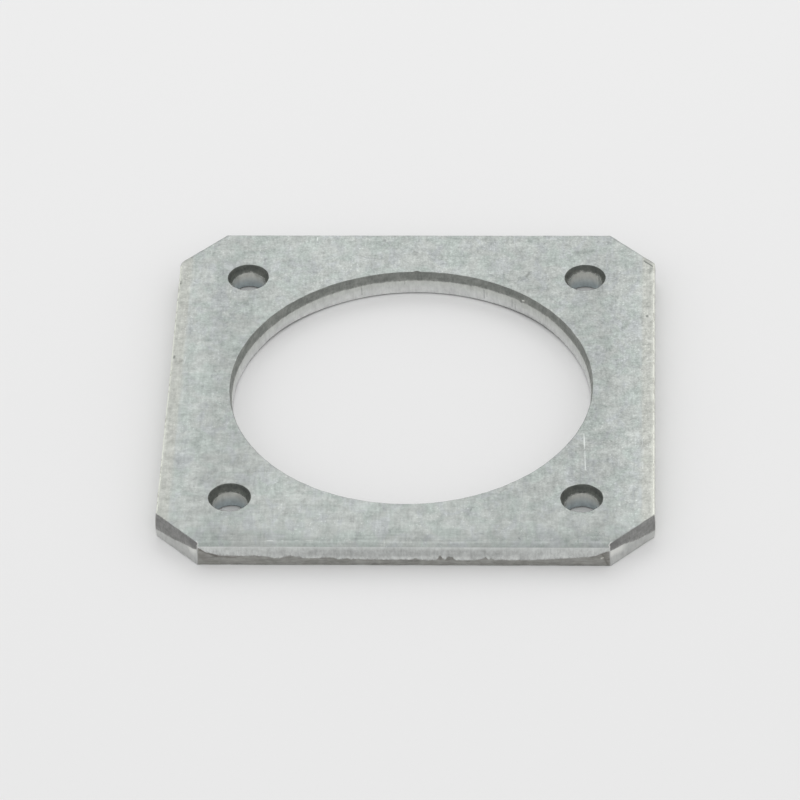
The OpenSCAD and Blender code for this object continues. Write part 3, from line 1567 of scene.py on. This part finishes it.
@dataclass(frozen=True)
class SupportWasher:
    """The whole plate: flat galvanised faces, mill edges, cut-off ends, notches and holes."""

    width: float = 75.0
    length: float = LENGTH
    thickness: float = THICKNESS
    mill_bulge: float = 0.15
    mill_blend: float = 0.2
    bore_diameter: float = BORE_DIAMETER
    bore_lean: float = 0.22
    bore_columns: int = 640
    hole_diameter: float = 5.3
    hole_pitch: float = 52.9
    hole_lean: float = 0.49
    hole_columns: int = 120
    punch_lip_depth: float = 0.2
    punch_lip_width: float = 0.3
    notch_leg: float = 6.75
    notch_lean: float = 0.37
    notch_lip_depth: float = 0.1
    notch_lip_width: float = 0.15
    end_lean: float = 0.1
    end_lip_depth: float = 0.4
    end_lip_width: float = 0.8
    end_tear_squeeze: Triple = (0.4, 1.0, 1.6)
    front_pitch: float = 0.15
    worn_corner: float = 0.9

    # The lines between the bands: their places run anticlockwise from the middle of a side, and
    # round a hole they are angles in degrees
    front_split: SplitLine = SplitLine(
        (
            *((-30.7, 3.45), (-30.1, 3.0), (-29.5, 2.5), (-28.8, 2.35), (-27.5, 1.95)),
            *((-25.0, 1.88), (-20.3, 1.78), (-19.4, 1.45), (-18.5, 1.45), (-17.8, 1.75)),
            *((-15.4, 1.78), (-15.1, 1.45), (-12.5, 1.45), (-12.0, 1.62), (-10.4, 1.6)),
            *((-10.1, 1.3), (-9.0, 1.3), (0.0, 1.2), (9.0, 1.1), (20.0, 1.25)),
            *((24.5, 1.6), (27.5, 1.85), (28.7, 2.1), (29.6, 2.6), (30.7, 3.05)),
        ),
        (
            Tongue(-22.4, 0.5, 0.2),
            Tongue(-17.0, 0.5, 0.18),
            Tongue(-8.5, 0.4, 0.2),
            Tongue(-0.4, 0.3, 0.15),
            Tongue(1.8, 0.55, 0.3),
            Tongue(5.5, 0.36, 0.85),
            Tongue(6.7, 0.34, 0.75),
            Tongue(7.3, 0.34, 0.6),
            Tongue(11.8, 0.8, 0.25),
            Tongue(12.3, 0.22, 0.5),
            Tongue(13.1, 0.25, 0.25),
        ),
    )
    back_split: SplitLine = SplitLine(
        ((-30.6, 1.4), (-28.0, 2.3), (0.0, 2.8), (28.0, 2.5), (30.6, 1.2))
    )
    rising_split: SplitLine = SplitLine(
        ((-4.8, 1.4), (-0.4, 1.87), (2.0, 2.45), (3.8, 2.7), (4.8, 3.15))
    )
    falling_split: SplitLine = SplitLine(
        ((-4.8, 3.05), (-3.0, 2.8), (-1.7, 2.65), (-0.3, 2.15), (1.1, 1.85), (4.8, 1.4))
    )
    bore_split: SplitLine = SplitLine(
        (
            *((-360.0, 2.55), (-330.0, 2.55), (-322.0, 2.68), (-311.0, 2.8), (-296.0, 2.72)),
            *((-282.0, 2.6), (-228.0, 2.55), (-218.0, 2.42), (-195.0, 2.42), (-180.0, 2.5)),
            (0.0, 2.55),
        ),
        (Tongue(-306.7, 0.5, -0.25), Tongue(-318.7, 0.4, 0.3), Tongue(-290.0, 0.6, 0.15)),
        teeth=0.09,
    )
    bore_nicks: tuple[Tongue, ...] = (Tongue(-270.0, 0.8, 0.28), Tongue(-318.7, 0.4, 0.12))
    bore_swells: tuple[Tongue, ...] = (Tongue(-314.0, 17.0, 0.3), Tongue(-222.0, 14.0, 0.24))
    fixing_holes: tuple[FixingHole, ...] = (
        FixingHole(-1, 1, 2.95, 0.1),
        FixingHole(1, 1, 3.25, 0.3),
        FixingHole(-1, -1, 2.85, 0.07),
        FixingHole(1, -1, 2.82, 0.07),
    )
    hole_split_dip: float = 0.3
    hole_split_wave: float = 1.2

    # The finishes, with the marks where the photograph shows them
    coat: ZincCoat = ZincCoat(
        marks=(
            top_mark(26.4, -11.5, (0.22, 0.05), 0.14, PALE, 0.8),
            top_mark(26.7, -13.3, (-0.07, 1.7), 0.17, PALE, 0.95),
            top_mark(26.87, -17.7, (-0.06, 2.2), 0.15, PALE, 0.9),
            top_mark(35.5, -13.3, (0.0, 0.7), 0.16, PALE, 0.55),
            top_mark(35.6, -15.9, (0.0, 0.9), 0.15, PALE, 0.5),
            top_mark(35.55, -18.8, (0.0, 0.8), 0.17, PALE, 0.55),
            top_mark(35.6, -20.9, (0.0, 0.4), 0.16, PALE, 0.45),
            top_mark(34.4, -14.2, (0.0, 1.6), 0.1, PALE, 0.4),
            top_mark(-16.0, 36.2, (0.0, 0.35), 0.14, (0.8, 0.82, 0.8), 0.8),
            top_mark(-19.9, -36.3, (0.4, 0.0), 0.16, PALE, 0.6),
            top_mark(-18.0, -36.3, (0.1, 0.0), 0.16, PALE, 0.5),
            top_mark(-15.9, -36.3, (0.2, 0.0), 0.16, PALE, 0.5),
            top_mark(-14.0, -36.3, (0.5, 0.0), 0.16, PALE, 0.4),
            top_mark(-36.9, 6.7, (0.0, 0.2), 0.28, DARK, 0.7),
            top_mark(36.17, 16.9, (0.0, 0.1), 0.3, DARK, 0.85),
            top_mark(36.0, 9.9, (0.4, 0.0), 0.26, DARK, 0.4),
            top_mark(17.5, 27.3, (0.2, 0.5), 0.42, DARK, 0.5),
            top_mark(16.7, 25.9, (0.3, 0.2), 0.3, DARK, 0.3),
            top_mark(26.3, 33.0, (1.2, 0.2), 0.8, DARK, 0.3),
            # Painted shade along the rim of the back-left notch
            top_mark(-35.7, 31.2, (1.1, 1.1), 0.16, DARK, 0.25),
            top_mark(-37.0, 25.1, (0.0, 0.3), 0.2, DARK, 0.7),
            top_mark(34.2, -25.7, (0.0, 1.4), 0.6, DARK, 0.22),
            top_mark(26.6, -8.0, (1.6, 1.2), 0.6, DARK, 0.16),
            top_mark(-35.2, 5.9, (0.1, 0.9), 0.1, PALE, 0.6),
            top_mark(-15.0, 33.0, (6.5, 0.0), 3.4, PALE, 0.11),
            top_mark(17.5, 30.0, (4.0, 0.0), 3.0, DARK, 0.04),
            top_mark(36.6, 5.9, (0.5, 0.0), 0.12, PALE, 0.7),
            top_mark(36.35, 30.0, (0.65, -0.7), 0.24, DARK, 0.75),
            top_mark(36.7, 28.2, (0.15, 0.5), 0.45, DARK, 0.4),
            top_mark(27.2, 30.4, (0.6, 0.2), 0.5, DARK, 0.25),
        )
    )
    bead: MillBead = MillBead()
    lip: LipCoatPaintedShade = LipCoatPaintedShade()
    bored: SmoothBand = SmoothBand(
        "bored_steel",
        (0.6, 0.617, 0.585),
        (0.765, 0.775, 0.765),
        split_share=replace(SmoothBand.split_share, at_end=0.4),
        marks=(
            # Painted shade at the foot of the wall at the back right, for the floor's contact
            # shadow that the wall mirrors
            Mark((18.5, 20.5, 0.35), (-4.4, 4.0, 0.0), 0.8, (0.3, 0.3, 0.3), 0.3),
            tick(108.3, 0.9, 2.2, 0.12, 0.5),
            tick(94.0, 1.9, 2.7, 0.1, 0.45),
            tick(67.4, 0.8, 2.3, 0.24, 0.3),
            tick(66.4, 1.2, 2.0, 0.12, 0.3),
            tick(57.0, 1.0, 2.3, 0.26, 0.28),
            tick(55.8, 0.6, 1.6, 0.12, 0.35),
            Mark((16.8, 21.9, 2.8), (0.06, -0.05, 0.1), 0.2, (0.9, 0.9, 0.87), 0.9),
        ),
    )
    bored_torn: TornBand = TornBand(
        "bored_torn_steel",
        (0.2, 0.211, 0.196),
        (0.24, 0.25, 0.232),
        marks=(Mark((16.8, 21.95, 3.05), (0.1, -0.08, 0.05), 0.24, (0.9, 0.9, 0.85), 0.95),),
    )
    punched: SmoothBand = SmoothBand(
        "punched_steel",
        (0.88, 0.875, 0.825),
        (0.51, 0.57, 0.59),
        split_share=replace(SmoothBand.split_share, at_end=0.25),
    )
    punched_torn: TornBand = TornBand(
        "punched_torn_steel",
        (0.108, 0.117, 0.107),
        (0.13, 0.138, 0.124),
        # Painted shade: the upper torn band is darker than the lower
        painted_height_shade=Fade(3.1, 3.6, 1.35, 1.0),
    )
    notched: SmoothBand = SmoothBand(
        "notched_steel",
        (0.6, 0.61, 0.59),
        (0.575, 0.582, 0.57),
        marks=(
            Mark((-31.2, -36.8, 2.5), (-0.5, 0.5, -0.2), 1.0, SHINE, 0.5),
            Mark((31.4, -36.6, 2.4), (1.0, 1.0, -0.3), 1.2, SHINE, 0.6),
        ),
    )
    notched_torn: TornBand = TornBand(
        "notched_torn_steel",
        (0.235, 0.236, 0.229),
        (0.265, 0.266, 0.259),
        marks=(
            Mark((-31.1, -36.3, 3.7), (-0.5, 0.5, -0.1), 1.0, SHADOW, 0.45),
            Mark((31.2, -36.2, 3.6), (0.7, 0.7, -0.1), 1.1, SHADOW, 0.55),
        ),
    )
    sheared: EndBand = EndBand("sheared_steel", (0.632, 0.65, 0.636), (0.65, 0.66, 0.648))
    sheared_torn: TornBand = TornBand(
        "sheared_torn_steel",
        (0.293, 0.293, 0.272),
        (0.326, 0.324, 0.307),
        grain=Layer(Grain(0.32, 3.0, 0.7, squeeze=(0.4, 1.0, 1.3)), 0.7),
        tears=replace(TornBand.tears, reach=0.8),
        marks=(
            Mark((-30.0, -37.2, 1.6), (0.4, 0.0, -0.3), 0.9, BROWN, 0.4),
            Mark((-29.1, -37.2, 2.45), (1.2, 0.0, -0.6), 0.42, BROWN, 0.75),
            Mark((-26.6, -37.2, 1.7), (1.5, 0.0, -0.12), 0.3, BROWN, 0.5),
            Mark((30.2, -37.2, 1.7), (0.2, 0.0, -0.4), 0.8, BROWN, 0.35),
            Mark((29.3, -37.2, 2.5), (1.1, 0.0, 0.5), 0.34, BROWN, 0.7),
            Mark((29.9, -37.2, 1.6), (0.5, 0.0, -1.3), 0.26, BROWN, 0.6),
            Mark((5.6, -37.2, 1.7), (0.1, 0.0, 0.4), 0.4, BROWN, 0.5),
            Mark((7.0, -37.2, 1.6), (0.4, 0.0, 0.2), 0.45, BROWN, 0.5),
            Mark((29.6, -37.2, 1.6), (0.12, 0.0, 0.05), 0.26, (0.75, 0.75, 0.7), 0.9),
        ),
    )
    corner: SmoothBand = SmoothBand("corner_steel", (0.68, 0.685, 0.67), (0.6, 0.605, 0.6))

    def _hole_section(self, lean: float, smooth: Skin, torn: Skin) -> ShearedEdge:
        """Gives the section of a hole's wall, which a punch cut from below.

        Args:
            lean: How far the torn band opens the hole.
            smooth: The surface of its smooth band.
            torn: The surface of its torn band and its rim.

        Returns:
            The section.
        """
        return ShearedEdge(
            self.thickness,
            self.punch_lip_depth,
            self.punch_lip_width,
            lean,
            Entry.BELOW,
            CutSkins(smooth, torn, Skin.LIP, torn),
        )

    def _notch_section(self) -> ShearedEdge:
        """Gives the section of a notch, which a punch cut from below.

        Returns:
            The section.
        """
        return ShearedEdge(
            self.thickness,
            self.notch_lip_depth,
            self.notch_lip_width,
            self.notch_lean,
            Entry.BELOW,
            CutSkins(Skin.NOTCHED, Skin.NOTCHED_TORN),
        )

    def _end_section(self, entry: Entry) -> ShearedEdge:
        """Gives the section of a cut-off end.

        Args:
            entry: The face that the shear entered.

        Returns:
            The section.
        """
        return ShearedEdge(
            self.thickness,
            self.end_lip_depth,
            self.end_lip_width,
            self.end_lean,
            entry,
            CutSkins(Skin.SHEARED, Skin.SHEARED_TORN),
            tear_squeeze=self.end_tear_squeeze,
        )

    def sides(self) -> list[Side]:
        """Gives the eight sides of the outline.

        Returns:
            The sides, anticlockwise from the one that faces +X.
        """
        mill = MillEdge(self.thickness, self.mill_bulge, self.mill_blend)
        unsplit = SplitLine(((0.0, self.thickness / 2),), unevenness=0.0, teeth=0.0)
        notch = self._notch_section()
        back, front = self._end_section(Entry.BELOW), self._end_section(Entry.ABOVE)
        half_x, half_y = self.width / 2, self.length / 2
        to_notch = (half_x + half_y - self.notch_leg) * COS_45
        half_notch = self.notch_leg * COS_45
        at_left, at_right = PressedBack(half_notch), PressedBack(-half_notch)
        up, down, pitch = self.rising_split, self.falling_split, self.front_pitch
        return [
            Side("right_mill_edge", 0, half_x, mill, unsplit),
            Side("back_right_notch", 45, to_notch, notch, up),
            Side("back_end", 90, half_y, back, self.back_split),
            Side("back_left_notch", 135, to_notch, notch, down, worn_end=self.worn_corner),
            Side("left_mill_edge", 180, half_x, mill, unsplit),
            Side("front_left_notch", 225, to_notch, notch, up, pitch, at_left),
            Side("front_end", 270, half_y, front, self.front_split, pitch),
            Side("front_right_notch", 315, to_notch, notch, down, pitch, at_right),
        ]

    def _fixing_hole(self, name: str, hole: FixingHole) -> RoundHole:
        """Gives one fixing hole, whose smooth band is highest at its front and back.

        Args:
            name: The hole's name.
            hole: What sets it apart.

        Returns:
            The hole.
        """
        high = hole.split_height
        low = high - self.hole_split_dip
        knots = ((-360.0, low), (-270.0, high), (-180.0, low), (-90.0, high), (0.0, low))
        half = self.hole_pitch / 2
        return RoundHole(
            name,
            hole.x_side * half,
            hole.y_side * half,
            self.hole_diameter / 2,
            self._hole_section(self.hole_lean, Skin.PUNCHED, Skin.PUNCHED_TORN),
            SplitLine(
                knots,
                unevenness=hole.unevenness,
                wave=self.hole_split_wave,
                teeth=hole.unevenness / 2,
            ),
            self.hole_columns,
        )

    def holes(self) -> list[RoundHole]:
        """Gives the centre hole and the four fixing holes.

        Returns:
            The holes, the centre hole first.
        """
        bore = RoundHole(
            "centre_hole",
            0.0,
            0.0,
            self.bore_diameter / 2,
            self._hole_section(self.bore_lean, Skin.BORED, Skin.BORED_TORN),
            self.bore_split,
            self.bore_columns,
            self.bore_nicks,
            self.bore_swells,
        )
        fixing = [
            self._fixing_hole(f"fixing_hole_{number}", hole)
            for number, hole in enumerate(self.fixing_holes, 1)
        ]
        return [bore, *fixing]

    def _skin_outline(self, skinner: Skinner) -> list[Chain]:
        """Adds the eight sides and the corners between them.

        Args:
            skinner: The skin that they become part of.

        Returns:
            Their columns of points, anticlockwise.
        """
        sides = self.sides()
        corners = [Corner(before, side) for before, side in zip(sides[-1:] + sides, sides)]
        strips = [corner.skin(skinner) for corner in corners]
        ring = []
        for side, start, end in zip(sides, strips, strips[1:] + strips[:1]):
            columns = side.skin(skinner, start.corner, end.corner)
            start.join(skinner, side, columns[0])
            end.join(skinner, side, columns[-1])
            ring += [*start.chains, *columns]
        return ring

    def _dress(self, piece: bpy.types.Object) -> None:
        """Gives each surface of the plate its finish.

        Args:
            piece: The plate.
        """
        finishes: dict[Skin, Finish] = {
            Skin.COAT: self.coat,
            Skin.MILL: self.bead,
            Skin.LIP: self.lip,
            Skin.BORED: self.bored,
            Skin.BORED_TORN: self.bored_torn,
            Skin.PUNCHED: self.punched,
            Skin.PUNCHED_TORN: self.punched_torn,
            Skin.NOTCHED: self.notched,
            Skin.NOTCHED_TORN: self.notched_torn,
            Skin.SHEARED: self.sheared,
            Skin.SHEARED_TORN: self.sheared_torn,
            Skin.CORNER: self.corner,
        }
        for skin in Skin:
            piece.data.materials.append(finishes[skin].material())

    def build(self) -> bpy.types.Object:
        """Builds the plate's skin and dresses it.

        Returns:
            The plate.
        """
        skinner = Skinner()
        rings = [self._skin_outline(skinner), *(hole.skin(skinner) for hole in self.holes())]
        skinner.close([[column[0] for column in ring] for ring in rings], -1.0)
        skinner.close([[column[-1] for column in ring] for ring in rings], 1.0)
        piece = skinner.finish("support_washer_plate")
        self._dress(piece)
        return piece


@dataclass(frozen=True)
class Studio:
    """A pale floor, soft light from above and behind, and the camera."""

    floor_side_m: float = 4.0
    floor_gap: float = 0.02
    floor_tone: Triple = (0.84, 0.84, 0.84)
    floor_roughness: float = 0.9
    floor_gloss: float = 0.1
    sky_tone: Triple = (1.0, 1.0, 1.0)
    sky_strength: float = 0.92
    lamp_watts: float = 0.35
    lamp_side_m: float = 0.31
    lamp_height_m: float = 0.42
    lamp_back_m: float = 0.42

    # The camera's turn in radians, how far right, down and ahead of it the plate's middle lies,
    # and how far it is then moved over the floor
    yaw: float = -0.05482591
    pitch: float = 0.69468071
    roll: float = -0.03316944
    aim: Triple = (1.74325, 0.97165, 901.7713)
    moved: Triple = (-0.06, -0.16, 0.0)
    focal_px: float = 5857.06
    sensor_mm: float = 36.0
    clip_start_m: float = 0.05
    clip_end_m: float = 20.0

    def floor(self) -> None:
        """Lays the floor just under the plate."""
        half = self.floor_side_m / 2
        mesh = bpy.data.meshes.new("floor")
        corners = [(x * half, y * half, 0.0) for x, y in ((-1, -1), (1, -1), (1, 1), (-1, 1))]
        mesh.from_pydata(corners, [], [(0, 1, 2, 3)])
        floor = bpy.data.objects.new("floor", mesh)
        floor.location.z = -self.floor_gap * MM
        bpy.context.scene.collection.objects.link(floor)
        bench = NodeBench("floor_paper")
        bench.set("Base Color", colour(self.floor_tone))
        bench.set("Roughness", self.floor_roughness)
        bench.set("Specular IOR Level", self.floor_gloss)
        mesh.materials.append(bench.material)

    def light(self) -> None:
        """Lights the plate with an even sky and one wide soft lamp above and behind it."""
        world = bpy.data.worlds.new("sky")
        bpy.context.scene.world = world
        world.use_nodes = True
        sky = world.node_tree.nodes["Background"]
        sky.inputs["Color"].default_value = colour(self.sky_tone)
        sky.inputs["Strength"].default_value = self.sky_strength
        lamp = bpy.data.lights.new("soft_lamp", "AREA")
        lamp.shape = "SQUARE"
        lamp.size = self.lamp_side_m
        lamp.energy = self.lamp_watts
        holder = bpy.data.objects.new("soft_lamp", lamp)
        holder.location = (0.0, self.lamp_back_m, self.lamp_height_m)
        holder.rotation_euler = (-Vector(holder.location)).to_track_quat("-Z", "Y").to_euler()
        bpy.context.scene.collection.objects.link(holder)

    def camera(self) -> None:
        """Sets the camera where the photograph was taken from."""
        forward = Vector(
            (
                math.sin(self.yaw) * math.cos(self.pitch),
                math.cos(self.yaw) * math.cos(self.pitch),
                -math.sin(self.pitch),
            )
        )
        level = Vector((math.cos(self.yaw), -math.sin(self.yaw), 0.0))
        raised = level.cross(forward)
        right = math.cos(self.roll) * level + math.sin(self.roll) * raised
        up = -math.sin(self.roll) * level + math.cos(self.roll) * raised
        turn = Matrix((right, up, -forward)).transposed()
        x, y, z = self.aim
        place = Vector(self.moved) - (right * x - up * y + forward * z)
        lens = bpy.data.cameras.new("camera")
        lens.sensor_width = self.sensor_mm
        lens.lens = self.focal_px / PHOTO_SIDE_PX * self.sensor_mm
        lens.clip_start = self.clip_start_m
        lens.clip_end = self.clip_end_m
        camera = bpy.data.objects.new("camera", lens)
        camera.matrix_world = Matrix.Translation(place * MM) @ turn.to_4x4()
        bpy.context.scene.collection.objects.link(camera)
        bpy.context.scene.camera = camera

    def set_up(self) -> None:
        """Sets up the floor, the light and the camera."""
        bpy.context.scene.view_settings.view_transform = "Standard"
        self.floor()
        self.light()
        self.camera()


def main() -> None:
    """Builds the studio and the washer in order, and reports the piece."""
    logging.basicConfig(level=logging.INFO, format="%(name)s: %(message)s")
    Studio().set_up()
    plate = SupportWasher().build()
    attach(plate, "root")
    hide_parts("washer_plate")
    plate.data.calc_loop_triangles()
    log.info("%s: %d triangles", plate.name, len(plate.data.loop_triangles))


if __name__ == "__main__":
    main()
